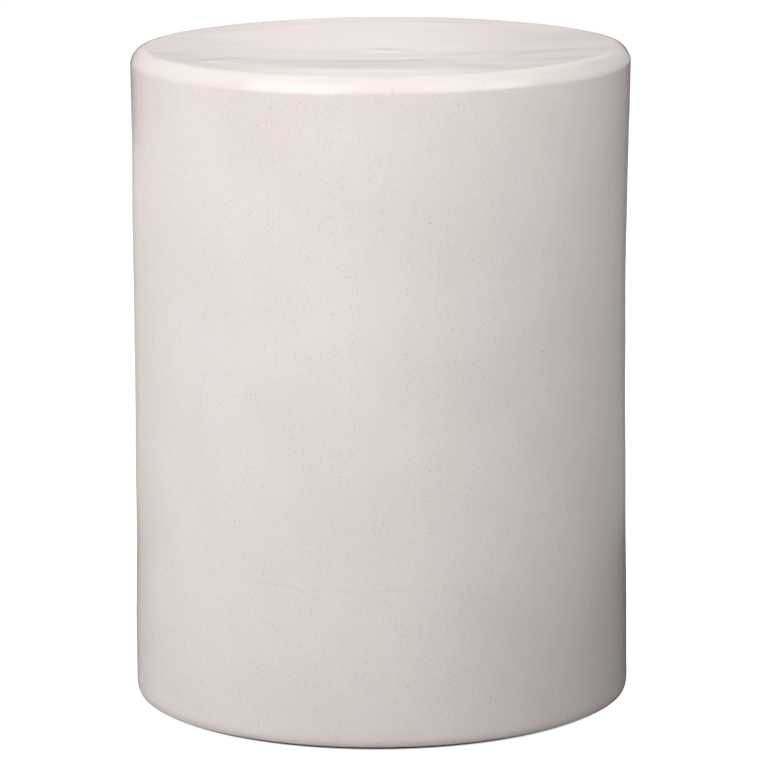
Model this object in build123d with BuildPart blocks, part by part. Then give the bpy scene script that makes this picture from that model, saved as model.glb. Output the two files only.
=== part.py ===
"""Cylindrical glazed stoneware stool, open underneath.

The stool is put together from clay members before it is fired: a side wall, a seat disc
laid on the wall's rim in a bed of slip, a coil smoothed into the inside corner, and a foot
ring luted inside the base. A speckled glaze covers the outside down to the foot, and felt
pads are stuck under the foot after firing.

Frame: millimetres, +Z up, origin on the floor at the middle of the foot.
"""

import math
import os

from build123d import *

# ---------------------------------------------------------------- driving dimensions (mm)
overall_h = 457.0  # floor to seat
outer_d = 347.8  # across the glaze at the shoulder and at the foot
waist_in = 1.5  # how far the wall draws in at half height, on the radius
glaze_t = 0.8  # thickness of the fired glaze
wall_bore_r = 163.0  # inside of the wall
rim_r = 11.0  # rounding of the seat's edge, over the glaze
foot_r = 6.0  # rounding at the bottom of the wall, over the glaze
glaze_end_deg = 50.0  # how far round the bottom edge the glaze is wiped back to
seat_t = 14.0  # clay thickness of the seat disc
slip_t = 1.0  # bed of slip under the seat disc
foot_slip_t = 0.8  # slip between foot ring and wall
coil_leg = 16.0  # height and width of the corner coil
coil_lip = 1.2  # its thin edge, where it is smoothed out on the clay
ring_in_r = 146.0  # inside of the foot ring
ring_h = 16.0  # height of the foot ring
ring_top_fillet = 5.0
ring_low_fillet = 2.5
pad_t = 2.0  # felt pad thickness
pad_r = 7.0  # felt pad radius
pad_circle_r = 155.6  # circle that the pads stand on
pad_count = 4
pad_edge = 0.4

# ---------------------------------------------------------------- derived dimensions
glaze_r = outer_d / 2.0
clay_r = glaze_r - glaze_t
foot_z = pad_t  # underside of the clay
clay_top_z = overall_h - glaze_t
rim_cz = overall_h - rim_r  # height of the rim rounding's centre
rim_cr = glaze_r - rim_r  # radius of the rim rounding's centre
clay_rim_r = rim_r - glaze_t
clay_foot_r = foot_r - glaze_t
foot_cz = foot_z + clay_foot_r  # height of the bottom rounding's centre
foot_cr = clay_r - clay_foot_r
mid_z = (rim_cz + foot_cz) / 2.0
seat_under_z = clay_top_z - seat_t
wall_top_z = seat_under_z - slip_t
glaze_end = math.radians(glaze_end_deg)
s45 = math.sqrt(0.5)


def on_arc(cr, cz, r, angle):
    """Point on a rounding of radius r about (cr, cz), angle in radians from the outward radius."""
    return (cr + r * math.cos(angle), cz + r * math.sin(angle))


# ---------------------------------------------------------------- half section of all the clay, from the middle of the seat down to the underside
with BuildSketch(Plane.XZ) as clay_section:
    with BuildLine():
        Line((0, foot_z), (0, clay_top_z))
        Line((0, clay_top_z), (rim_cr, clay_top_z))
        ThreePointArc(
            (rim_cr, clay_top_z),
            on_arc(rim_cr, rim_cz, clay_rim_r, math.pi / 4),
            (clay_r, rim_cz),
        )
        ThreePointArc((clay_r, rim_cz), (clay_r - waist_in, mid_z), (clay_r, foot_cz))
        ThreePointArc(
            (clay_r, foot_cz),
            on_arc(foot_cr, foot_cz, clay_foot_r, -math.pi / 4),
            (foot_cr, foot_z),
        )
        Line((foot_cr, foot_z), (0, foot_z))
    make_face()

os.makedirs("parts", exist_ok=True)

# ---------------------------------------------------------------- seat disc: the round slab that is sat on, with its rolled edge
with BuildPart() as seat_disc:
    add(clay_section.sketch)
    revolve(axis=Axis.Z)
    split(bisect_by=Plane.XY.offset(seat_under_z), keep=Keep.TOP)

# ---------------------------------------------------------------- bed of slip that the seat disc is laid in, on the wall's rim
with BuildPart() as seat_slip_bed:
    add(clay_section.sketch)
    revolve(axis=Axis.Z)
    split(bisect_by=Plane.XY.offset(seat_under_z), keep=Keep.BOTTOM)
    split(bisect_by=Plane.XY.offset(wall_top_z), keep=Keep.TOP)
    with Locations((0, 0, wall_top_z)):
        Hole(radius=wall_bore_r, depth=4 * slip_t)

# ---------------------------------------------------------------- side wall: the cylinder, slightly waisted, open at both ends
with BuildPart() as side_wall:
    add(clay_section.sketch)
    revolve(axis=Axis.Z)
    split(bisect_by=Plane.XY.offset(wall_top_z), keep=Keep.BOTTOM)
    with Locations((0, 0, wall_top_z)):
        Hole(radius=wall_bore_r)

# ---------------------------------------------------------------- corner coil: a rope of clay smoothed into the corner under the seat
with BuildPart() as corner_coil:
    coil_in_r = wall_bore_r - coil_leg
    coil_low_z = seat_under_z - coil_leg
    hollow_r = coil_leg - coil_lip
    with BuildSketch(Plane.XZ):
        with BuildLine():
            Line((wall_bore_r, coil_low_z), (wall_bore_r, seat_under_z))
            Line((wall_bore_r, seat_under_z), (coil_in_r, seat_under_z))
            Line((coil_in_r, seat_under_z), (coil_in_r, seat_under_z - coil_lip))
            ThreePointArc(
                (coil_in_r, seat_under_z - coil_lip),
                (coil_in_r + hollow_r * s45, coil_low_z + hollow_r * s45),
                (wall_bore_r - coil_lip, coil_low_z),
            )
            Line((wall_bore_r - coil_lip, coil_low_z), (wall_bore_r, coil_low_z))
        make_face()
    revolve(axis=Axis.Z)

# ---------------------------------------------------------------- foot ring: thickens the base so that the stool stands on a broad edge
ring_out_r = wall_bore_r - foot_slip_t
with BuildPart() as foot_ring:
    with BuildSketch(Plane.XY.offset(foot_z)):
        Circle(ring_out_r)
        Circle(ring_in_r, mode=Mode.SUBTRACT)
    extrude(amount=ring_h)
    inner_edges = foot_ring.edges().filter_by(GeomType.CIRCLE).group_by(SortBy.RADIUS)[0]
    fillet(inner_edges.sort_by(Axis.Z)[-1], ring_top_fillet)
    inner_low = foot_ring.edges().filter_by(GeomType.CIRCLE).group_by(Axis.Z)[0].sort_by(SortBy.RADIUS)[0]
    fillet(inner_low, ring_low_fillet)

# ---------------------------------------------------------------- slip that joins the foot ring to the wall
with BuildPart() as foot_slip_bed:
    with BuildSketch(Plane.XY.offset(foot_z)):
        Circle(wall_bore_r)
        Circle(ring_out_r, mode=Mode.SUBTRACT)
    extrude(amount=ring_h)

# ---------------------------------------------------------------- outer glaze: one coat over seat, rim and wall, wiped back at the foot
with BuildPart() as outer_glaze:
    end_out = on_arc(foot_cr, foot_cz, foot_r, -glaze_end)
    end_in = on_arc(foot_cr, foot_cz, clay_foot_r, -glaze_end)
    with BuildSketch(Plane.XZ):
        with BuildLine():
            # outside of the coat, from the middle of the seat down
            Line((0, overall_h), (rim_cr, overall_h))
            ThreePointArc(
                (rim_cr, overall_h),
                on_arc(rim_cr, rim_cz, rim_r, math.pi / 4),
                (glaze_r, rim_cz),
            )
            ThreePointArc((glaze_r, rim_cz), (glaze_r - waist_in, mid_z), (glaze_r, foot_cz))
            ThreePointArc(
                (glaze_r, foot_cz),
                on_arc(foot_cr, foot_cz, foot_r, -glaze_end / 2),
                end_out,
            )
            Line(end_out, end_in)
            # inside of the coat, back up against the clay
            ThreePointArc(
                end_in,
                on_arc(foot_cr, foot_cz, clay_foot_r, -glaze_end / 2),
                (clay_r, foot_cz),
            )
            ThreePointArc((clay_r, foot_cz), (clay_r - waist_in, mid_z), (clay_r, rim_cz))
            ThreePointArc(
                (clay_r, rim_cz),
                on_arc(rim_cr, rim_cz, clay_rim_r, math.pi / 4),
                (rim_cr, clay_top_z),
            )
            Line((rim_cr, clay_top_z), (0, clay_top_z))
            Line((0, clay_top_z), (0, overall_h))
        make_face()
    revolve(axis=Axis.Z)

# ---------------------------------------------------------------- felt pads stuck under the foot, one group
with BuildPart() as foot_pads:
    with BuildSketch(Plane.XY):
        with PolarLocations(pad_circle_r, pad_count, start_angle=45):
            Circle(pad_r)
    extrude(amount=pad_t)
    chamfer(foot_pads.edges().group_by(Axis.Z)[0], pad_edge)

# ---------------------------------------------------------------- labels and files
pieces = {
    "seat_disc": seat_disc,
    "seat_slip_bed": seat_slip_bed,
    "side_wall": side_wall,
    "corner_coil": corner_coil,
    "foot_ring": foot_ring,
    "foot_slip_bed": foot_slip_bed,
    "outer_glaze": outer_glaze,
    "foot_pads": foot_pads,
}
for name, piece in pieces.items():
    piece.part.label = name
    export_step(piece.part, f"parts/{name}.step")
    print(name, "volume cm3", round(piece.part.volume / 1000.0, 1))
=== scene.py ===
"""Looks of the glazed stoneware stool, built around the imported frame.

Lengths inside the shape functions are millimetres in the row frame; meshes are written in metres.
"""

import math

import bmesh
import bpy
import numpy as np
from mathutils import Matrix, Vector


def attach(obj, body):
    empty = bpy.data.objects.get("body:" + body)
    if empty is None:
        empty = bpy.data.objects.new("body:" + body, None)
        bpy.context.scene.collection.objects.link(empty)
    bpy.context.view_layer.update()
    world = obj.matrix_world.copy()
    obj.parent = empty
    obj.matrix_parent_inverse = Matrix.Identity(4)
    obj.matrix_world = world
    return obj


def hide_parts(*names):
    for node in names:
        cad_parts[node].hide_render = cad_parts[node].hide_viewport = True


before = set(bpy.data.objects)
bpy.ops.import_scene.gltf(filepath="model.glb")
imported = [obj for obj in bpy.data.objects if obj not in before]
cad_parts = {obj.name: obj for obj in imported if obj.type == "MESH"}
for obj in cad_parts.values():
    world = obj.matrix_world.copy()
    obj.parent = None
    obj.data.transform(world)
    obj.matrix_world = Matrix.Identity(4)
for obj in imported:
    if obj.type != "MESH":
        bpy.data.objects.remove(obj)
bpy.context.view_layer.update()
scene = bpy.context.scene

# ---------------------------------------------------------------- the stool's dimensions, as in the frame (mm)
TOP = 457.0
TILT = 0.0017  # the seat falls to the left by this slope
GLAZE = 0.8
BORE = 163.0
RIM = 11.0
FOOT = 3.6  # how far the bottom edge is rounded in
FOOT_UP = 7.6  # how far up that rounding starts
FOOT_Z = 2.0
SEAT_T = 14.0
DISH = 3.9  # how far the middle of the seat lies below its edge
SLIP = 1.0
COIL = 16.0
COIL_LIP = 1.2
RING_IN = 146.0
RING_H = 16.0
RING_SLIP = 0.8
PAD_R = 7.0
PAD_T = 2.0
PAD_CIRCLE = 155.6


def wall_r(z, inset=0.0):
    """Radius of the even wall at height z: drawn in at 262 mm, a little wider at the foot than at the shoulder."""
    d2 = (np.asarray(z, float) - 262.0) ** 2
    low = -np.log(np.exp(-6.0 * 3.9e-5 * d2) + math.exp(-6.0 * 1.72)) / 6.0
    return 171.23 + np.where(np.asarray(z) > 262.0, 4.3e-5 * d2, low) - inset


CLAY_FOOT = FOOT - GLAZE
CLAY_FOOT_UP = FOOT_UP - GLAZE
FOOT_CZ = FOOT_Z + CLAY_FOOT_UP
FOOT_CR = float(wall_r(FOOT_CZ)) - FOOT
RIM_CZ = TOP - RIM
R_RIM = float(wall_r(RIM_CZ))
RIM_CR = R_RIM - RIM
SEAT_UNDER = TOP - GLAZE - SEAT_T
WALL_TOP = SEAT_UNDER - SLIP
COIL_LOW = SEAT_UNDER - COIL
N = 512


# ---------------------------------------------------------------- small helpers
def smooth(x, a, b):
    """0 below a, 1 above b, smooth between."""
    t = np.clip((np.asarray(x, float) - a) / (b - a), 0.0, 1.0)
    return t * t * (3.0 - 2.0 * t)


def ramp(x, a, b):
    """Integral of smooth: flat below a, slope 1 above b."""
    t = np.clip((np.asarray(x, float) - a) / (b - a), 0.0, 1.0)
    return (b - a) * (t**3 - 0.5 * t**4) + np.clip(np.asarray(x, float) - b, 0.0, None)


def bump(x, centre, width):
    """Gaussian bell of unit height."""
    return np.exp(-(((np.asarray(x, float) - centre) / width) ** 2))


def turn(theta, at, half=np.pi):
    """Signed angle from at to theta, wrapped to half a turn either way."""
    return (np.asarray(theta) - at + half) % (2 * half) - half


def ripples(theta, v, seed, count, kmax, shortest, longest):
    """Smooth random surface, periodic in theta, of about unit size; v is a length in mm."""
    rng = np.random.RandomState(seed)
    out = np.zeros(np.broadcast(theta, v).shape)
    for _ in range(count):
        k = rng.randint(0, kmax + 1)
        wave = 2 * np.pi / rng.uniform(shortest, longest) * rng.choice([-1.0, 1.0])
        out = out + np.cos(k * theta + wave * v + rng.uniform(0, 2 * np.pi))
    return out / math.sqrt(count / 2.0)


def grid_object(name, rows, torus=False, cap_first=None, cap_last=None, sharp=35.0):
    """Closed mesh from rows of points round the axis, (rows, N, 3) in mm.

    A torus joins the last row to the first; otherwise each end is closed on a pole point."""
    m, n, _ = rows.shape
    co = rows.reshape(-1, 3)
    j = np.arange(n)
    k = (j + 1) % n
    faces = []
    for i in range(m if torus else m - 1):
        a, b = i * n, ((i + 1) % m) * n
        faces.append(np.stack([a + j, a + k, b + k, b + j], 1))
    quads = np.concatenate(faces).tolist()
    tris = []
    extra = []
    for cap, row, flip in ((cap_first, 0, False), (cap_last, m - 1, True)):
        if cap is not None:
            p = len(co) + len(extra)
            extra.append(cap)
            a = row * n
            for q in range(n):
                t = (a + q, a + (q + 1) % n)
                tris.append((p, t[0], t[1]) if flip else (p, t[1], t[0]))
    if extra:
        co = np.concatenate([co, np.array(extra, float)])
    mesh = bpy.data.meshes.new(name)
    mesh.from_pydata((co / 1000.0).tolist(), [], quads + tris)
    bm = bmesh.new()
    bm.from_mesh(mesh)
    bmesh.ops.recalc_face_normals(bm, faces=bm.faces)
    bm.to_mesh(mesh)
    bm.free()
    mesh.shade_smooth()
    mesh.set_sharp_from_angle(angle=math.radians(sharp))
    obj = bpy.data.objects.new(name, mesh)
    scene.collection.objects.link(obj)
    return obj


def revolve_rows(r, z, theta):
    """Rows of points from arrays r and z of shape (rows, N)."""
    return np.stack([r * np.cos(theta), r * np.sin(theta), z], 2)


def leaning(rows):
    """The outside is not quite upright: the foot stands a little to the left, the shoulder to the right, and the
    seat falls to the left."""
    out = rows.copy()
    z = rows[..., 2]
    out[..., 2] += TILT * (rows[..., 0] - 173.0) * z / TOP
    out[..., 0] += -0.42 + 1.6 * smooth(z, 290.0, 450.0) - 0.45 * (1.0 - smooth(z, 30.0, 120.0))
    return out


# ---------------------------------------------------------------- the hand-made shape, shared by clay and glaze
TH = (np.arange(N) / N * 2 * np.pi)[None, :]
FRONT = -np.pi / 2  # the side towards the camera
RIGHT = 0.0


def wall_off(theta, z):
    """How far the wall stands off the even one, in mm, + outward; zero at both ends."""
    ends = smooth(z, 6.0, 60.0) * (1.0 - smooth(z, 392.0, 448.0))
    # broad bands left by forming the wall, not quite level
    zz = z + 5.0 * np.sin(theta + 0.5) + 3.0 * np.sin(2 * theta + 1.0)
    bands = 0.0
    for c, a, w in (
        (345.0, 0.22, 30.0),
        (298.0, -0.10, 22.0),
        (254.0, 0.06, 24.0),
        (213.0, -0.08, 24.0),
        (168.0, 0.26, 32.0),
        (110.0, -0.10, 26.0),
    ):
        bands = bands + a * bump(zz, c, w)
    bands = bands * (0.8 + 0.2 * np.cos(2 * theta - 0.6))
    lumps = 0.035 * ripples(theta, z, 11, 22, 5, 120.0, 320.0)
    lumps = lumps + 0.012 * ripples(theta, z, 12, 26, 14, 45.0, 110.0)
    return ends * (bands + lumps)


def facet(theta, z, at_deg, width, z0, z1, depth):
    """Upright streak that is turned a little to the left (+) or to the right (-), between heights z0 and z1."""
    u = turn(theta, math.radians(at_deg)) * 172.0 / width
    return depth * u * np.exp(-u * u) * smooth(z, z0 - 15.0, z0 + 15.0) * (1 - smooth(z, z1 - 15.0, z1 + 15.0))


def seat_off(x, y):
    """Height of the seat against its plane, in mm; never above it."""
    r = np.hypot(x, y)
    th = np.arctan2(y, x)
    deg = np.degrees(th)
    # the seat is a shallow dish
    slope = DISH / 149.0
    h = -0.12 - DISH + slope * (ramp(r, 4.0, 24.0) - ramp(r, 156.0, 170.0))
    # round its front it climbs to a level shelf
    left_end = smooth(turn(deg, -150.5 + 0.06 * (r - 125.0), 180.0), -4.5, 4.5)
    shelf = left_end * (1.0 - smooth(turn(deg, -52.0, 180.0), -14.0, 8.0))
    rise = np.interp(deg, (-150.0, -135.0, -112.0, -95.0, -85.0, -70.0, -50.0), (0.022, 0.020, 0.016, 0.015, 0.017, 0.018, 0.006))
    r_in = r - np.interp(deg, (-152.0, -140.0, -125.0, -105.0, -91.0, -75.0, -44.0), (62.0, 50.0, 30.0, 16.0, 14.0, 20.0, 20.0))
    r_out = r - np.interp(deg, (-152.0, -142.0, -125.0, -91.0, -72.0, -62.0, -54.0, -46.0), (6.0, 3.0, 6.0, 12.0, 14.0, 20.0, 32.0, 44.0))
    climb = rise * ramp(r_in, 32.0, 54.0) - (rise + slope) * ramp(r_out, 106.0, 138.0)
    h = h + shelf * (deg < 0.0) * np.clip(climb, 0.0, None)
    # the edge is a little lower at the front right
    h = h - 0.7 * smooth(deg, -100.0, -62.0) * (1.0 - smooth(deg, -38.0, 4.0)) * smooth(r, 70.0, 150.0)
    h = h - 0.18 * (deg < 0.0) * smooth(deg, -179.0, -166.0) * (1.0 - left_end) * smooth(r, 112.0, 140.0) * (1.0 - smooth(r, 150.0, 163.0))
    # on the right the dish runs on to the very edge
    h = h + slope * (ramp(r, 156.0, 170.0) - ramp(r, 161.0, 172.0)) * smooth(deg, -66.0, -52.0) * (1.0 - smooth(deg, 5.0, 30.0))
    # a wedge at the back is a little steeper and falls off again outwards
    wedge = smooth(deg, 45.0, 61.0) * (1.0 - smooth(deg, 128.0, 168.0))
    h = h + wedge * (0.005 * ramp(r, 14.0, 40.0) - 0.030 * (1.0 + 0.25 * bump(deg, 66.0, 18.0)) * ramp(r, 120.0, 136.0))
    # on the right the dish is flatter and lower
    sag = smooth(deg, -44.0, -6.0) * (1.0 - smooth(deg, 40.0, 70.0))
    h = h - 0.35 * sag * smooth(r, 20.0, 110.0) * (1.0 - smooth(r, 120.0, 162.0))
    h = h - 0.75 * smooth(deg, 5.0, 35.0) * (1.0 - smooth(deg, 46.0, 66.0)) * smooth(r, 90.0, 155.0)
    # broad unevenness left by smoothing the slab
    h = h + 0.04 * (ripples(th, r, 21, 20, 4, 120.0, 260.0) - 1.0) * smooth(r, 4.0, 40.0)
    # long strokes of the rib, nearly across the seat
    u = x * math.cos(0.10) + y * math.sin(0.10)
    v = y * math.cos(0.10) - x * math.sin(0.10)
    rng = np.random.RandomState(31)
    for _ in range(16):
        c, w, a = rng.uniform(-150, 150), rng.uniform(7, 20), rng.uniform(-0.05, 0.05)
        m, k = rng.uniform(-110, 110), rng.uniform(45, 110)
        h = h + (a - 0.02) * bump(v + 0.00045 * (u - m) ** 2, c, w) * bump(u, m, k) * (1 - smooth(r, 140.0, 160.0))
    # short strokes near the left and the right edge: each a low step that rises towards the camera
    for at_x, at_y, x0, x1, soft, width, rise in (
        ((82.0, 96.0, 110.0, 124.0, 151.0, 165.0), (-41.0, -30.0, -20.0, -17.0, -18.0, -18.0), 74.0, 185.0, 22.0, 34.0, 0.024),
        ((100.0, 150.0), (-72.0, -63.0), 104.0, 152.0, 12.0, 22.0, 0.019),
        ((-158.0, -130.0, -90.0), (-27.0, -31.0, -33.0), -160.0, -118.0, 12.0, 20.0, 0.012),
        ((-155.0, -125.0, -60.0), (52.0, 50.0, 38.0), -155.0, -100.0, 18.0, 26.0, 0.010),
    ):
        line = np.interp(x, at_x, at_y)
        step = ramp(line - y, -5.0, 5.0) - ramp(line - y, 2.0, width)
        run_out = 6.0 if x0 > 0.0 else 0.0
        h = h + rise * step * smooth(x, x0, x0 + soft) * (1 - smooth(x, x1 - soft, x1)) * (1 - smooth(r, 153.0 + run_out, 164.0 + run_out))
    # a low ridge at the right end of the shelf
    h = h + 0.13 * bump(y, -84.0 - 0.12 * (x - 70.0), 9.0) * smooth(x, 62.0, 78.0) * (1 - smooth(x, 100.0, 122.0))
    # the small rise left at the middle
    p, q = (0.94 * (x - 1.0) - 0.34 * (y + 3.0)) / 15.0, (0.94 * (y + 3.0) + 0.34 * (x - 1.0)) / 9.5
    h = h + 0.50 * np.exp(-p * p - q * q)
    return np.minimum(h, -0.02)


def profile_outer():
    """Outer half section of the glaze from the seat's middle to where it is wiped off, with its arc tags."""
    seat_r = np.concatenate([np.linspace(0.8, 40.0, 34), np.linspace(41.8, RIM_CR, 74)])
    parts = [(r, TOP, "seat") for r in seat_r]
    for t in np.linspace(0, np.pi / 2, 37)[1:]:
        parts.append((RIM_CR + RIM * math.sin(t), RIM_CZ + RIM * math.cos(t), "rim"))
    wall = np.concatenate(
        [
            np.linspace(RIM_CZ, 410.0, 22)[1:],
            np.linspace(410.0, 124.0, 118)[1:],
            np.linspace(124.0, 98.0, 48)[1:],
            np.linspace(98.0, 22.0, 40)[1:],
            np.linspace(22.0, FOOT_CZ, 20)[1:],
        ]
    )
    for z in wall:
        parts.append((wall_r(z), z, "wall"))
    for t in np.linspace(0, math.radians(55.0), 19)[1:]:
        parts.append((FOOT_CR + FOOT * math.cos(t), FOOT_CZ - FOOT_UP * math.sin(t), "foot"))
    return parts


def scallop(theta):
    """Height of the faint scalloped edge where the last coat of glaze stopped, in mm."""
    rng = np.random.RandomState(41)
    cusps = np.sort((np.arange(23) + rng.uniform(-0.32, 0.32, 23)) / 23 * 2 * np.pi)
    drop = 3.6 + 2.6 * rng.rand(23)
    t = np.mod(theta, 2 * np.pi)
    near = np.full(t.shape, 1e9)
    for c, d in zip(cusps, drop):
        near = np.minimum(near, np.abs(turn(t, c)) * 172.0 / (9.0 + 5.0 * (d - 3.6)))
    lobe = np.sqrt(np.clip(near, 0.0, 1.0))
    return 108.0 + 4.5 * lobe + 2.2 * np.sin(2 * theta + 0.6) + 0.8 * np.sin(5 * theta + 2.0)


def clay_surface(r, z, theta):
    """Moves a point of the even clay outside to the hand-made one."""
    k = smooth(r, 150.0, 165.0)
    rr = r + wall_off(theta, z) * k
    x, y = r * np.cos(theta), r * np.sin(theta)
    top = smooth(z, RIM_CZ - 6.0, TOP - 3.0)
    return rr, z + seat_off(x, y) * top


# ---------------------------------------------------------------- outer glaze
parts = profile_outer()
po_r = np.array([p[0] for p in parts])[:, None]
po_z = np.array([p[1] for p in parts])[:, None]
tags = [p[2] for p in parts]
gr, gz = clay_surface(po_r + 0 * TH, po_z + 0 * TH, TH + 0 * po_r)
is_wall = np.array([t == "wall" for t in tags])[:, None]
is_foot = np.array([t == "foot" for t in tags])[:, None]
is_rim = np.array([t == "rim" for t in tags])[:, None]
# the coat: thicker above its scalloped edge, with a low roll along the edge
edge = po_z - scallop(TH + 0 * po_r)
coat = 0.05 * smooth(edge, -1.2, 1.2) - 0.075 * bump(edge, -1.1, 1.2)
coat = coat * (0.30 + 0.70 * smooth(ripples(TH, 0 * TH, 43, 6, 4, 200.0, 300.0), -0.5, 0.8))
# fine unevenness of the melted coat, and its upright runs
coat = coat + 0.014 * ripples(TH, po_z + 0 * TH, 44, 40, 60, 14.0, 40.0)
coat = coat + 0.012 * ripples(TH, po_z + 0 * TH, 47, 60, 110, 250.0, 700.0)
coat = coat + facet(TH, po_z, -52.8, 6.0, 176.0, 230.0, 0.030)
coat = coat + facet(TH, po_z, -105.3, 7.0, 67.0, 142.0, -0.030)
coat = coat + facet(TH, po_z, -60.5, 6.0, 60.0, 150.0, 0.020)
# a soft bead where the glaze gathers above the foot
bead = 0.10 * bump(po_z, 12.5 + 1.4 * np.sin(4 * TH + 1.0) + 1.0 * np.sin(9 * TH), 2.8)
gr = gr + is_wall * (coat - 0.06) * smooth(po_z, 10.0, 18.0)
gr = gr + (is_wall | is_foot) * (bead - 0.20 * bump(po_z, 8.0, 14.0))
gr = gr + is_foot * 0.04 * ripples(TH, po_z + 0 * TH, 45, 8, 12, 30.0, 60.0) * smooth(po_z, 7.5, 4.0)
# the foot spreads a little to the right
spread = 0.30 * (1.0 - smooth(po_z, 60.0, 140.0)) + 0.35 * (1.0 - smooth(po_z, 4.0, 40.0))
gr = gr + (is_wall | is_foot) * spread * np.clip(np.cos(TH), 0.0, 1.0) ** 2
# the rolled edge of the seat is not quite even
rim_wave = 0.10 * ripples(TH, po_z + 0 * TH, 46, 14, 9, 40.0, 90.0) - 0.22
gr = gr + is_rim * rim_wave * np.sin(np.clip((po_z - RIM_CZ) / RIM, 0, 1) * np.pi)
gz = gz + is_rim * 0.6 * rim_wave * np.sin(np.clip((po_z - RIM_CZ) / RIM, 0, 1) * np.pi)
arc_at = np.degrees(np.arcsin(np.clip((po_r - RIM_CR) / RIM, 0, 1)))
crease = 0.0
for at, t0, swing, w, depth in (
    (-32.0, 33.0, 7.0, 22.0, 0.10),
    (-38.0, 46.0, -9.0, 16.0, 0.08),
    (-44.0, 22.0, 5.0, 13.0, 0.07),
    (-158.0, 36.0, -8.0, 15.0, 0.09),
    (-150.0, 24.0, 6.0, 11.0, 0.05),
    (150.0, 38.0, 5.0, 20.0, 0.08),
    (40.0, 30.0, -6.0, 25.0, 0.08),
    (-128.0, 44.0, -4.0, 30.0, 0.06),
    (-78.0, 46.0, 3.0, 34.0, 0.06),
):
    along = turn(np.degrees(TH), at, 180.0) / w
    crease = crease + depth * bump(arc_at, t0 + swing * along, 4.5) * np.exp(-along * along)
gr = gr - is_rim * crease * np.sin(np.radians(arc_at))
gz = gz - is_rim * crease * np.cos(np.radians(arc_at))
gz = np.minimum(gz, TOP - 0.01)

# inside of the coat, against the clay, coarser
inner = []
for t in np.linspace(math.radians(55.0), 0, 8):
    inner.append((FOOT_CR + CLAY_FOOT * math.cos(t), FOOT_CZ - CLAY_FOOT_UP * math.sin(t)))
for z in np.linspace(FOOT_CZ, RIM_CZ, 61)[1:]:
    inner.append((wall_r(z, GLAZE), z))
for t in np.linspace(np.pi / 2, 0, 9)[1:]:
    inner.append((RIM_CR + (RIM - GLAZE) * math.sin(t), RIM_CZ + (RIM - GLAZE) * math.cos(t)))
for r in np.concatenate([np.linspace(RIM_CR, 40.0, 40)[1:], np.linspace(40.0, 0.8, 14)[1:]]):
    inner.append((r, TOP - GLAZE))
pi_r = np.array([p[0] for p in inner])[:, None]
pi_z = np.array([p[1] for p in inner])[:, None]
ir, iz = clay_surface(pi_r + 0 * TH, pi_z + 0 * TH, TH + 0 * pi_r)
ir = ir - 0.25 * smooth(pi_r, 150.0, 168.0)
iz = iz - 0.25 * (1 - smooth(pi_r, 150.0, 168.0))
g_rows = leaning(np.concatenate([revolve_rows(gr, gz, TH + 0 * gr), revolve_rows(ir, iz, TH + 0 * ir)]))
glaze = grid_object(
    "glaze_coat",
    g_rows,
    cap_first=tuple(g_rows[0].mean(0)),
    cap_last=tuple(g_rows[-1].mean(0)),
)

# ---------------------------------------------------------------- clay: side wall, with throwing rings inside
wz = np.concatenate([np.linspace(FOOT_CZ, 30.0, 6), np.linspace(30.0, 400.0, 50)[1:], np.linspace(400.0, WALL_TOP, 8)[1:]])
w_out = [(wall_r(z, GLAZE), z) for z in wz]
for t in np.linspace(0, np.pi / 2, 8)[1:]:
    w_out.insert(0, (FOOT_CR + CLAY_FOOT * math.cos(t), FOOT_CZ - CLAY_FOOT_UP * math.sin(t)))
w_in_z = np.concatenate(
    [np.linspace(WALL_TOP, COIL_LOW, 5), np.linspace(COIL_LOW, 19.0, 236)[1:], np.linspace(19.0, FOOT_Z, 6)[1:]]
)
o_r = np.array([p[0] for p in w_out])[:, None]
o_z = np.array([p[1] for p in w_out])[:, None]
wr, wzz = clay_surface(o_r + 0 * TH, o_z + 0 * TH, TH + 0 * o_r)
wr = wr - 0.35 * smooth(o_z, 6.0, 12.0) - 0.05
ib_z = w_in_z[:, None] + 0 * TH
rings = 0.5 + 0.5 * np.sin(2 * np.pi * ib_z / 8.5 + TH + 0.8 * ripples(TH, ib_z, 51, 10, 3, 90.0, 200.0))
fade = smooth(ib_z, 20.0, 34.0) * (1 - smooth(ib_z, COIL_LOW - 16.0, COIL_LOW - 1.0))
ib_r = BORE + fade * (0.55 * rings**1.6 + 0.16 * (1 + ripples(TH, ib_z, 52, 20, 6, 60.0, 180.0)).clip(0, 3))
side = grid_object(
    "wall_clay",
    np.concatenate([leaning(revolve_rows(wr, wzz, TH + 0 * wr)), revolve_rows(ib_r, ib_z, TH + 0 * ib_r)]),
    torus=True,
)

# ---------------------------------------------------------------- clay: seat disc, with a wiped spiral underneath
s_top_r = np.concatenate([np.linspace(1.0, RIM_CR, 60)])
s_parts = [(r, TOP - GLAZE) for r in s_top_r]
for t in np.linspace(0, np.pi / 2, 9)[1:]:
    s_parts.append((RIM_CR + (RIM - GLAZE) * math.sin(t), RIM_CZ + (RIM - GLAZE) * math.cos(t)))
for z in np.linspace(RIM_CZ, SEAT_UNDER, 4)[1:]:
    s_parts.append((wall_r(z, GLAZE), z))
so_r = np.array([p[0] for p in s_parts])[:, None]
so_z = np.array([p[1] for p in s_parts])[:, None]
sr, sz = clay_surface(so_r + 0 * TH, so_z + 0 * TH, TH + 0 * so_r)
sr = sr - 0.35 * smooth(so_r, 150.0, 168.0)
sz = sz - 0.35 * (1 - smooth(so_r, 150.0, 168.0))
su_r = np.linspace(170.0, 1.0, 150)[:, None] + 0 * TH
spiral = 0.5 + 0.5 * np.sin(2 * np.pi * su_r / 11.0 - TH + 0.7 * ripples(TH, su_r, 61, 10, 3, 80.0, 160.0))
open_under = (1 - smooth(su_r, 136.0, 145.0)) * smooth(su_r, 2.0, 10.0)
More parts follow.
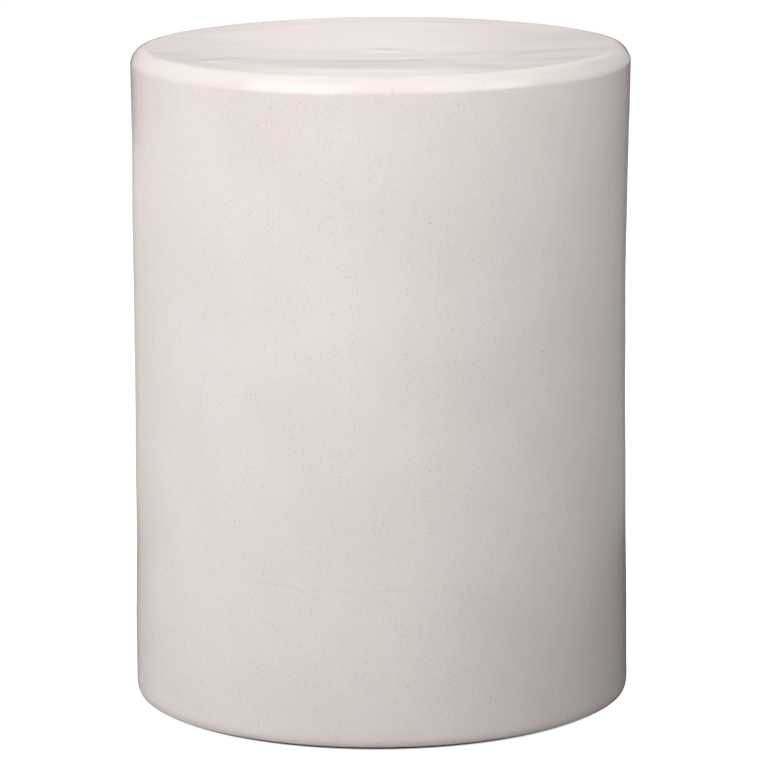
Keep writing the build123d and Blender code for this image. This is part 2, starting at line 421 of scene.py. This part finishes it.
su_z = SEAT_UNDER + open_under * (0.40 * spiral**1.5 + 0.12 * (1 + ripples(TH, su_r, 62, 16, 5, 50.0, 140.0)).clip(0, 3))
s_rows = np.concatenate([leaning(revolve_rows(sr, sz, TH + 0 * sr)), revolve_rows(su_r, su_z, TH + 0 * su_r)])
seat = grid_object("seat_clay", s_rows, cap_first=tuple(s_rows[0].mean(0)), cap_last=tuple(s_rows[-1].mean(0)))

# ---------------------------------------------------------------- bed of slip under the seat disc, squeezed a little unevenly
sb = [
    (wall_r(WALL_TOP, GLAZE + 0.45) + 0 * TH, WALL_TOP + 0.02 + 0 * TH),
    (wall_r(SEAT_UNDER, GLAZE + 0.45) + 0 * TH, SEAT_UNDER - 0.02 + 0 * TH),
]
squeeze = 0.25 + 0.12 * ripples(TH, 0 * TH, 65, 14, 30, 60.0, 90.0)
sb_in = [
    (BORE + squeeze, SEAT_UNDER - 0.02 + 0 * TH),
    (BORE + squeeze.clip(0, 1) * 0.3, SEAT_UNDER - 0.35 + 0 * TH),
    (BORE + squeeze.clip(0, 1) * 0.3, WALL_TOP + 0.35 + 0 * TH),
    (BORE + squeeze, WALL_TOP + 0.02 + 0 * TH),
]
seat_slip = grid_object(
    "seat_slip",
    np.concatenate(
        [leaning(revolve_rows(r, z, TH)) for r, z in sb] + [revolve_rows(r, z, TH) for r, z in sb_in]
    ),
    torus=True,
)

# ---------------------------------------------------------------- clay: corner coil, pressed in with a thumb
arc = np.linspace(0.0, np.pi / 2, 21)[:, None]
hollow = COIL - COIL_LIP
in_r = BORE - COIL
press = 0.5 + 0.5 * np.cos(44 * TH + 0.9 * np.sin(5 * TH) + 0.6 * np.sin(11 * TH + 1.0))
ease = np.sin(2 * arc)
back = ease * (0.15 + 0.75 * press + 0.18 * (1 + ripples(TH, 20 * arc, 71, 20, 30, 10.0, 40.0)).clip(0, 3))
ca_r = in_r + (hollow + back) * np.sin(arc) + 0 * TH
ca_z = COIL_LOW + (hollow + back) * np.cos(arc) + 0 * TH
lip_low = 0.5 * ripples(TH, 0 * TH, 72, 10, 26, 60.0, 90.0)
ca_z[-1] = COIL_LOW + np.abs(lip_low) * 0.5
c_sec = [
    (ca_r, ca_z),
    (np.full((1, N), BORE - 0.02), np.full((1, N), COIL_LOW + 0.02) + np.abs(lip_low) * 0.5),
    (np.full((1, N), BORE - 0.02), np.full((1, N), SEAT_UNDER - 0.02)),
    (np.full((1, N), in_r + 0.02), np.full((1, N), SEAT_UNDER - 0.02)),
]
coil = grid_object(
    "coil_clay",
    np.concatenate([revolve_rows(r, z, TH + 0 * r) for r, z in c_sec]),
    torus=True,
)

# ---------------------------------------------------------------- clay: foot ring, turned and wiped with a sponge
ring_out = BORE - RING_SLIP
rp = [(ring_out - 0.02, FOOT_Z + 0.02)]
rp += [(r, FOOT_Z + 0.02) for r in np.linspace(ring_out - 1.0, RING_IN + 2.5, 10)]
for t in np.linspace(0, np.pi / 2, 7)[1:]:
    rp.append((RING_IN + 2.5 - 2.5 * math.sin(t), FOOT_Z + 2.5 - 2.5 * math.cos(t)))
rp += [(RING_IN, z) for z in np.linspace(FOOT_Z + 3.2, FOOT_Z + RING_H - 5.0, 8)]
for t in np.linspace(0, np.pi / 2, 9)[1:]:
    rp.append((RING_IN + 5.0 - 5.0 * math.cos(t), FOOT_Z + RING_H - 5.0 + 5.0 * math.sin(t)))
rp += [(r, FOOT_Z + RING_H - 0.02) for r in np.linspace(RING_IN + 6.0, ring_out - 0.02, 8)]
f_r = np.array([p[0] for p in rp])[:, None] + 0 * TH
f_z = np.array([p[1] for p in rp])[:, None] + 0 * TH
inside = 1 - smooth(f_r, RING_IN + 1.0, RING_IN + 8.0)
above = smooth(f_z, FOOT_Z + RING_H - 5.0, FOOT_Z + RING_H - 0.5)
f_r = f_r + inside * (0.35 + 0.22 * ripples(TH, f_z, 81, 18, 22, 8.0, 40.0)).clip(0, 1.5)
f_z = f_z - above * (0.22 + 0.16 * ripples(TH, f_r, 82, 18, 26, 8.0, 40.0)).clip(0, 1.0)
f_z = f_z + (f_z < FOOT_Z + 0.1) * (0.06 + 0.05 * ripples(TH, f_r, 83, 24, 40, 5.0, 20.0)).clip(0, 0.2)
ring = grid_object("foot_ring_clay", revolve_rows(f_r, f_z, TH + 0 * f_r), torus=True)

# ---------------------------------------------------------------- felt pads: cut discs with a soft, slightly fibrous edge
pads = []
PN = 96
pth = (np.arange(PN) / PN * 2 * np.pi)[None, :]
for i in range(4):
    a0 = math.radians(45 + 90 * i)
    cx, cy = PAD_CIRCLE * math.cos(a0), PAD_CIRCLE * math.sin(a0)
    rad = [(0.02 + 0.98 * s) for s in np.linspace(0, 0.955, 12)]
    sec = [(PAD_R * s, PAD_T) for s in rad]
    for t in np.linspace(0, np.pi, 11)[1:-1]:
        sec.append((PAD_R - 0.42 + 0.40 * math.sin(t), PAD_T / 2 + (PAD_T / 2) * math.cos(t)))
    sec += [(PAD_R * s, 0.0) for s in rad[::-1]]
    p_r = np.array([p[0] for p in sec])[:, None] + 0 * pth
    p_z = np.array([p[1] for p in sec])[:, None] + 0 * pth
    fuzz = ripples(pth, p_z * 6 + 3 * i, 91 + i, 30, 40, 2.0, 9.0)
    p_r = np.minimum(p_r * (1 - 0.004 * (1 + fuzz).clip(0, 3) * (p_r > PAD_R * 0.9)), PAD_R)
    low = p_z < 0.01
    p_z = p_z + np.where(low, (0.03 + 0.025 * ripples(pth, p_r * 3, 95 + i, 24, 30, 4.0, 14.0)).clip(0, 0.1), 0)
    p_z = np.minimum(p_z, PAD_T - 0.02)
    rows = np.stack([cx + p_r * np.cos(pth), cy + p_r * np.sin(pth), p_z], 2)
    ends = [(cx, cy, float(p_z[0].mean())), (cx, cy, float(p_z[-1].mean()))]
    pads.append(grid_object(f"felt_pad_{i + 1}", rows, cap_first=ends[0], cap_last=ends[1], sharp=70.0))


# ---------------------------------------------------------------- materials
def new_material(name):
    mat = bpy.data.materials.new(name)
    mat.use_nodes = True
    nt = mat.node_tree
    nt.nodes.clear()
    out = nt.nodes.new("ShaderNodeOutputMaterial")
    bsdf = nt.nodes.new("ShaderNodeBsdfPrincipled")
    nt.links.new(bsdf.outputs["BSDF"], out.inputs["Surface"])
    coord = nt.nodes.new("ShaderNodeTexCoord")
    return mat, nt, bsdf, coord.outputs["Object"]


def node(nt, kind, **values):
    n = nt.nodes.new(kind)
    for k, v in values.items():
        if k in n.inputs:
            n.inputs[k].default_value = v
        else:
            setattr(n, k, v)
    return n


def noise(nt, vec, scale, detail=2.0, rough=0.5):
    n = node(nt, "ShaderNodeTexNoise", Scale=scale, Detail=detail, Roughness=rough)
    nt.links.new(vec, n.inputs["Vector"])
    return n.outputs["Fac"]


def remap(nt, value, a, b, lo=0.0, hi=1.0):
    n = node(nt, "ShaderNodeMapRange", interpolation_type="SMOOTHSTEP")
    n.inputs["From Min"].default_value = a
    n.inputs["From Max"].default_value = b
    n.inputs["To Min"].default_value = lo
    n.inputs["To Max"].default_value = hi
    nt.links.new(value, n.inputs["Value"])
    return n.outputs["Result"]


def math_node(nt, op, a, b):
    n = node(nt, "ShaderNodeMath", operation=op)
    for socket, v in ((n.inputs[0], a), (n.inputs[1], b)):
        if isinstance(v, (int, float)):
            socket.default_value = v
        else:
            nt.links.new(v, socket)
    return n.outputs[0]


def mix(nt, fac, a, b, kind="MIX"):
    n = node(nt, "ShaderNodeMix", data_type="RGBA", blend_type=kind)
    for socket, v in ((n.inputs[0], fac), (n.inputs[6], a), (n.inputs[7], b)):
        if isinstance(v, (int, float)):
            socket.default_value = v
        elif isinstance(v, tuple):
            socket.default_value = (*v, 1.0)
        else:
            nt.links.new(v, socket)
    return n.outputs[2]


def specks(nt, vec, cell_mm, share, r_mm):
    """1 inside small round specks: one seed to a cell, share of the cells used, radius varied up to r_mm."""
    n = node(nt, "ShaderNodeTexVoronoi", Scale=1000.0 / cell_mm, Randomness=1.0)
    nt.links.new(vec, n.inputs["Vector"])
    sep = nt.nodes.new("ShaderNodeSeparateColor")
    nt.links.new(n.outputs["Color"], sep.inputs["Color"])
    used = math_node(nt, "LESS_THAN", sep.outputs[0], share)
    size = math_node(nt, "MULTIPLY_ADD", sep.outputs[1], 0.7)
    size.node.inputs[2].default_value = 0.3
    limit = math_node(nt, "MULTIPLY", size, r_mm / cell_mm)
    gap = math_node(nt, "SUBTRACT", limit, n.outputs["Distance"])
    soft = remap(nt, gap, -0.10 * r_mm / cell_mm, 0.30 * r_mm / cell_mm)
    return math_node(nt, "MULTIPLY", soft, used)


def bump_node(nt, height, strength, distance):
    n = node(nt, "ShaderNodeBump", Strength=strength, Distance=distance)
    nt.links.new(height, n.inputs["Height"])
    return n


# glaze: warm off-white, finely mottled, with iron specks that melted through it
glaze_mat, nt, bsdf, obj_vec = new_material("speckled_glaze")
cloud = remap(nt, noise(nt, obj_vec, 14.0, 3.0, 0.55), 0.30, 0.70)
tone = mix(nt, cloud, (0.705, 0.636, 0.614), (0.735, 0.665, 0.644))
grain = remap(nt, noise(nt, obj_vec, 900.0, 2.0, 0.6), 0.25, 0.75)
tone = mix(nt, math_node(nt, "MULTIPLY", grain, 0.19), tone, (0.52, 0.45, 0.42))
# the specks are thinned out on the rolled edge: a painted highlight, standing in for the highlight that washes them out
# there
place = nt.nodes.new("ShaderNodeSeparateXYZ")
nt.links.new(obj_vec, place.inputs[0])
painted_highlight_fade = remap(nt, place.outputs[2], 0.4435, 0.4490, 1.0, 0.40)
dust = math_node(nt, "MULTIPLY", specks(nt, obj_vec, 1.15, 0.80, 0.34), painted_highlight_fade)
tone = mix(nt, math_node(nt, "MULTIPLY", dust, 0.24), tone, (0.30, 0.24, 0.21))
fine = math_node(nt, "MULTIPLY", specks(nt, obj_vec, 1.7, 0.75, 0.42), painted_highlight_fade)
bold = math_node(nt, "MULTIPLY", specks(nt, obj_vec, 4.0, 0.30, 0.56), painted_highlight_fade)
tone = mix(nt, math_node(nt, "MULTIPLY", fine, 0.37), tone, (0.20, 0.155, 0.125))
tone = mix(nt, math_node(nt, "MULTIPLY", bold, 0.45), tone, (0.14, 0.105, 0.085))
nt.links.new(tone, bsdf.inputs["Base Color"])
skin = remap(nt, noise(nt, obj_vec, 30.0, 2.0, 0.5), 0.3, 0.7, 0.05, 0.085)
nt.links.new(skin, bsdf.inputs["Roughness"])
bsdf.inputs["IOR"].default_value = 1.52
peel = noise(nt, obj_vec, 420.0, 3.0, 0.55)
nt.links.new(bump_node(nt, peel, 0.025, 0.0002).outputs["Normal"], bsdf.inputs["Normal"])

# bare fired clay: buff, sandy, with grog and iron spots
clay_mat, nt, bsdf, obj_vec = new_material("bare_stoneware")
body = remap(nt, noise(nt, obj_vec, 22.0, 4.0, 0.6), 0.3, 0.7)
tone = mix(nt, body, (0.47, 0.385, 0.30), (0.56, 0.475, 0.385))
sand = noise(nt, obj_vec, 1300.0, 3.0, 0.65)
tone = mix(nt, remap(nt, sand, 0.35, 0.7, 0.0, 0.35), tone, (0.36, 0.285, 0.215))
grog = specks(nt, obj_vec, 3.2, 0.5, 0.75)
tone = mix(nt, math_node(nt, "MULTIPLY", grog, 0.5), tone, (0.66, 0.58, 0.48))
iron = specks(nt, obj_vec, 5.5, 0.35, 0.8)
tone = mix(nt, math_node(nt, "MULTIPLY", iron, 0.75), tone, (0.13, 0.08, 0.05))
nt.links.new(tone, bsdf.inputs["Base Color"])
bsdf.inputs["IOR"].default_value = 1.45
nt.links.new(remap(nt, sand, 0.3, 0.7, 0.80, 0.95), bsdf.inputs["Roughness"])
relief = math_node(nt, "ADD", math_node(nt, "MULTIPLY", sand, 0.7), math_node(nt, "MULTIPLY", grog, 0.5))
nt.links.new(bump_node(nt, relief, 0.35, 0.0004).outputs["Normal"], bsdf.inputs["Normal"])

# slip: the same clay, finer and a little darker, brushed along the joint
slip_mat, nt, bsdf, obj_vec = new_material("joining_slip")
brush = node(nt, "ShaderNodeTexNoise", Scale=160.0, Detail=4.0, Roughness=0.6)
nt.links.new(obj_vec, brush.inputs["Vector"])
tone = mix(nt, remap(nt, brush.outputs["Fac"], 0.3, 0.7), (0.40, 0.32, 0.245), (0.48, 0.395, 0.31))
nt.links.new(tone, bsdf.inputs["Base Color"])
nt.links.new(remap(nt, brush.outputs["Fac"], 0.3, 0.7, 0.74, 0.9), bsdf.inputs["Roughness"])
nt.links.new(bump_node(nt, brush.outputs["Fac"], 0.3, 0.0003).outputs["Normal"], bsdf.inputs["Normal"])

# felt: matted grey-brown fibres
felt_mat, nt, bsdf, obj_vec = new_material("pad_felt")
fibre = node(nt, "ShaderNodeTexNoise", Scale=2600.0, Detail=5.0, Roughness=0.7, Distortion=1.6)
nt.links.new(obj_vec, fibre.inputs["Vector"])
clump = noise(nt, obj_vec, 420.0, 3.0, 0.6)
tone = mix(nt, remap(nt, fibre.outputs["Fac"], 0.3, 0.7), (0.105, 0.092, 0.080), (0.27, 0.245, 0.215))
tone = mix(nt, remap(nt, clump, 0.4, 0.7, 0.0, 0.5), tone, (0.16, 0.14, 0.12))
nt.links.new(tone, bsdf.inputs["Base Color"])
nt.links.new(remap(nt, clump, 0.3, 0.7, 0.88, 1.0), bsdf.inputs["Roughness"])
bsdf.inputs["Sheen Weight"].default_value = 0.35
bsdf.inputs["Sheen Roughness"].default_value = 0.5
nt.links.new(bump_node(nt, fibre.outputs["Fac"], 0.7, 0.0004).outputs["Normal"], bsdf.inputs["Normal"])


def dress(obj, mat, node_name=None):
    obj.data.materials.clear()
    obj.data.materials.append(mat)
    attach(obj, "root")
    if node_name:
        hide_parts(node_name)


dress(glaze, glaze_mat, "outer_glaze")
dress(side, clay_mat, "side_wall")
dress(seat, clay_mat, "seat_disc")
dress(coil, clay_mat, "corner_coil")
dress(ring, clay_mat, "foot_ring")
for i, p in enumerate(pads):
    dress(p, felt_mat, "foot_pads")
dress(seat_slip, slip_mat, "seat_slip_bed")
foot_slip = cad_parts["foot_slip_bed"]
foot_slip.data.materials.clear()
foot_slip.data.materials.append(slip_mat)

# ---------------------------------------------------------------- camera, at the photograph's viewing angle
cam_data = bpy.data.cameras.new("camera")
cam_data.sensor_width = 36.0
cam_data.lens = 220.3
cam_data.clip_end = 60.0
camera = bpy.data.objects.new("camera", cam_data)
scene.collection.objects.link(camera)
camera.matrix_world = (
    Matrix.Translation((0.00221, -3.225, 0.8685))
    @ Matrix.Rotation(math.radians(90.0 - 11.409), 4, "X")
    @ Matrix.Rotation(math.radians(-0.362), 4, "Z")
)
scene.camera = camera

# ---------------------------------------------------------------- studio: pale floor, soft light
def plane(name, corners, faces):
    mesh = bpy.data.meshes.new(name)
    mesh.from_pydata(corners, [], faces)
    obj = bpy.data.objects.new(name, mesh)
    scene.collection.objects.link(obj)
    mat = bpy.data.materials.new(name)
    mat.use_nodes = True
    mat.node_tree.nodes.clear()
    mesh.materials.append(mat)
    return obj, mat.node_tree, mat.node_tree.nodes.new("ShaderNodeOutputMaterial")


# the floor that is seen: white around the stool, dark right under the foot, partly real shadow on its lit part and
# partly a painted contact shadow where its glow is withheld; open from below
floor, nt, out = plane("floor", [(x, y, -0.0003) for x, y in ((-30, -30), (30, -30), (30, 30), (-30, 30))], [(0, 1, 2, 3)])
lit = node(nt, "ShaderNodeBsdfDiffuse", Color=(0.30, 0.30, 0.30, 1.0))
coord = nt.nodes.new("ShaderNodeTexCoord")
away = node(nt, "ShaderNodeVectorMath", operation="LENGTH")
nt.links.new(coord.outputs["Object"], away.inputs[0])
glow = node(nt, "ShaderNodeEmission", Color=(1.0, 1.0, 1.0, 1.0))
# painted contact shadow: the floor's glow fades out inside 168.5 mm from the middle
nt.links.new(remap(nt, away.outputs["Value"], 0.1630, 0.1685, 0.0, 1.0), glow.inputs["Strength"])
both = nt.nodes.new("ShaderNodeAddShader")
nt.links.new(lit.outputs[0], both.inputs[0])
nt.links.new(glow.outputs[0], both.inputs[1])
clear = node(nt, "ShaderNodeBsdfTransparent")
side_of = nt.nodes.new("ShaderNodeNewGeometry")
pick = nt.nodes.new("ShaderNodeMixShader")
nt.links.new(side_of.outputs["Backfacing"], pick.inputs[0])
nt.links.new(both.outputs[0], pick.inputs[1])
nt.links.new(clear.outputs[0], pick.inputs[2])
nt.links.new(pick.outputs[0], out.inputs["Surface"])
floor.location.x = -0.0009
floor.visible_diffuse = False
floor.visible_glossy = False

# the floor that light comes back from: broad rings round the stool's hollow, not seen themselves
ring_at = [(math.cos(t), math.sin(t)) for t in np.linspace(0, 2 * np.pi, 65)[:-1]]
for name, r0, r1 in (("floor_near", 0.150, 0.75), ("floor_far", 0.75, 30.0)):
    bounce, nt, out = plane(
        name,
        [(r0 * c, r0 * s, -0.0005) for c, s in ring_at] + [(r1 * c, r1 * s, -0.0005) for c, s in ring_at],
        [(i, 64 + i, 64 + (i + 1) % 64, (i + 1) % 64) for i in range(64)],
    )
    grey = node(nt, "ShaderNodeBsdfDiffuse")
    coord = nt.nodes.new("ShaderNodeTexCoord")
    axes = nt.nodes.new("ShaderNodeSeparateXYZ")
    nt.links.new(coord.outputs["Object"], axes.inputs[0])
    # lighter in two patches behind the stool, which are mirrored along its sides
    bearing = math_node(nt, "ARCTAN2", axes.outputs[0], axes.outputs[1])
    patch_left = math_node(nt, "MULTIPLY", remap(nt, bearing, -0.90, -0.55), remap(nt, bearing, -0.25, -0.05, 0.17, 0.0))
    patch_right = math_node(nt, "MULTIPLY", remap(nt, bearing, 0.45, 0.70), remap(nt, bearing, 1.0, 1.4, 0.18, 0.0))
    shade = math_node(nt, "ADD", math_node(nt, "ADD", patch_left, patch_right), 0.36)
    if name == "floor_near":
        # darker close to the stool, most of all on its right
        away = node(nt, "ShaderNodeVectorMath", operation="LENGTH")
        nt.links.new(coord.outputs["Object"], away.inputs[0])
        close = math_node(nt, "MULTIPLY", remap(nt, axes.outputs[0], 0.0, 0.32, 0.28, 0.10), remap(nt, away.outputs["Value"], 0.48, 0.75, 1.0, 0.0))
        shade = math_node(nt, "ADD", close, math_node(nt, "MULTIPLY", shade, remap(nt, away.outputs["Value"], 0.48, 0.75, 0.0, 1.0)))
    nt.links.new(shade, grey.inputs["Color"])
    nt.links.new(grey.outputs[0], out.inputs["Surface"])
    bounce.visible_camera = False

world = bpy.data.worlds.new("studio")
scene.world = world
world.use_nodes = True
nt = world.node_tree
nt.nodes.clear()
out = nt.nodes.new("ShaderNodeOutputWorld")
seen = node(nt, "ShaderNodeBackground", Color=(1.0, 1.0, 1.0, 1.0), Strength=1.05)
fill = node(nt, "ShaderNodeBackground", Color=(1.0, 1.0, 1.0, 1.0))
sky = nt.nodes.new("ShaderNodeTexCoord")
axes = nt.nodes.new("ShaderNodeSeparateXYZ")
nt.links.new(sky.outputs["Generated"], axes.inputs[0])
nt.links.new(remap(nt, axes.outputs[2], -0.04, 0.0, 0.60, 0.13), fill.inputs["Strength"])
sheen = node(nt, "ShaderNodeBackground", Color=(1.0, 0.94, 0.935, 1.0))
nt.links.new(remap(nt, axes.outputs[2], 0.05, 0.21, 0.21, 0.46), sheen.inputs["Strength"])
path = nt.nodes.new("ShaderNodeLightPath")
last = fill.outputs[0]
for ray, part in (("Is Glossy Ray", sheen), ("Is Camera Ray", seen)):
    pick = nt.nodes.new("ShaderNodeMixShader")
    nt.links.new(path.outputs[ray], pick.inputs[0])
    nt.links.new(last, pick.inputs[1])
    nt.links.new(part.outputs[0], pick.inputs[2])
    last = pick.outputs[0]
nt.links.new(last, out.inputs["Surface"])

CENTRE = Vector((0.0, 0.0, 0.26))
WHITE = (1.0, 1.0, 1.0)
WARM = (1.0, 0.92, 0.91)


def softbox(name, azimuth, elevation, distance, wide, tall, power, colour=WHITE, diffuse=True, glossy=True):
    """Rectangular soft light aimed at the stool; azimuth 0 is the camera's side, + to its right."""
    a, e = math.radians(azimuth), math.radians(elevation)
    d = Vector((math.sin(a) * math.cos(e), -math.cos(a) * math.cos(e), math.sin(e)))
    light = bpy.data.lights.new(name, "AREA")
    light.shape = "RECTANGLE"
    light.size, light.size_y = wide, tall
    light.energy = power
    light.color = colour
    obj = bpy.data.objects.new(name, light)
    scene.collection.objects.link(obj)
    obj.location = CENTRE + d * distance
    obj.rotation_mode = "QUATERNION"
    obj.rotation_quaternion = d.to_track_quat("Z", "Y")
    obj.visible_diffuse = diffuse
    obj.visible_glossy = glossy
    return obj


# lights that shape the form
for name, at, power in (
    ("key", (-45.0, 29.0, 2.6, 2.7, 1.1), 57.5),
    ("key_high", (-40.0, 50.0, 2.6, 2.0, 2.0), 11.5),
    ("left", (-100.0, 19.0, 2.6, 2.8, 1.9), 16.0),
    ("right", (41.0, 30.0, 1.2, 0.7, 0.7), 7.35),
    ("top_back", (180.0, 62.0, 2.6, 2.6, 1.8), 5.9),
    ("back_left", (-150.0, 19.0, 2.6, 2.7, 1.9), 19.4),
):
    softbox(name, *at, power, glossy=False)

# softer and larger ones that are seen in the glaze
for name, at, power, colour in (
    ("window", (-40.0, 29.0, 2.6, 2.0, 2.8), 37.0, WHITE),
    ("skylight", (-114.7, 73.0, 2.6, 0.22, 0.42), 0.6, WHITE),
    ("sill", (-45.0, 9.0, 2.6, 3.4, 0.93), 9.55, WHITE),
    ("right_screen", (48.0, 30.0, 2.6, 2.2, 2.2), 13.0, WHITE),
    ("far_right_screen", (95.0, 25.0, 2.6, 2.2, 2.2), 5.9, WHITE),
    ("back_screen", (180.0, 24.0, 2.6, 1.4, 1.6), 2.15, WARM),
    ("back_left_screen", (-150.0, 19.0, 2.6, 2.7, 1.9), 1.56, WARM),
    ("back_right_screen", (140.0, 15.0, 2.6, 2.4, 1.4), 4.4, WHITE),
    ("top_back_screen", (180.0, 58.0, 2.6, 3.0, 1.8), 11.0, WHITE),
    ("ceiling", (0.0, 90.0, 2.6, 2.6, 2.6), 3.74, WHITE),
    ("left_back_screen", (-165.0, 30.0, 2.6, 1.4, 0.80), 1.0, WHITE),
    ("right_back_screen", (165.0, 31.0, 2.6, 0.7, 0.55), 0.35, WHITE),
    ("right_window", (60.0, 25.0, 2.6, 1.0, 1.3), 6.2, WHITE),
):
    softbox(name, *at, power, colour, diffuse=False)

# a soft-edged card behind the stool, mirrored in its seat only
card, nt, out = plane("back_card", [(x, 0.95, z) for x, z in ((-0.7, 0.46), (0.7, 0.46), (0.7, 0.80), (-0.7, 0.80))], [(0, 1, 2, 3)])
coord = nt.nodes.new("ShaderNodeTexCoord")
axes = nt.nodes.new("ShaderNodeSeparateXYZ")
nt.links.new(coord.outputs["Object"], axes.inputs[0])
middle = math_node(nt, "MULTIPLY", remap(nt, axes.outputs[0], -0.22, -0.04), remap(nt, axes.outputs[0], 0.0, 0.20, 0.25, 0.0))
leftward = math_node(nt, "MULTIPLY", remap(nt, axes.outputs[0], -0.70, -0.60), remap(nt, axes.outputs[0], -0.02, 0.30, 0.13, 0.0))
glow = node(nt, "ShaderNodeEmission", Color=(*WARM, 1.0))
nt.links.new(math_node(nt, "ADD", middle, leftward), glow.inputs["Strength"])
clear = node(nt, "ShaderNodeBsdfTransparent")
both = nt.nodes.new("ShaderNodeAddShader")
nt.links.new(glow.outputs[0], both.inputs[0])
nt.links.new(clear.outputs[0], both.inputs[1])
nt.links.new(both.outputs[0], out.inputs["Surface"])
card.visible_camera = False
card.visible_diffuse = False

scene.view_settings.view_transform = "Standard"
scene.view_settings.look = "None"
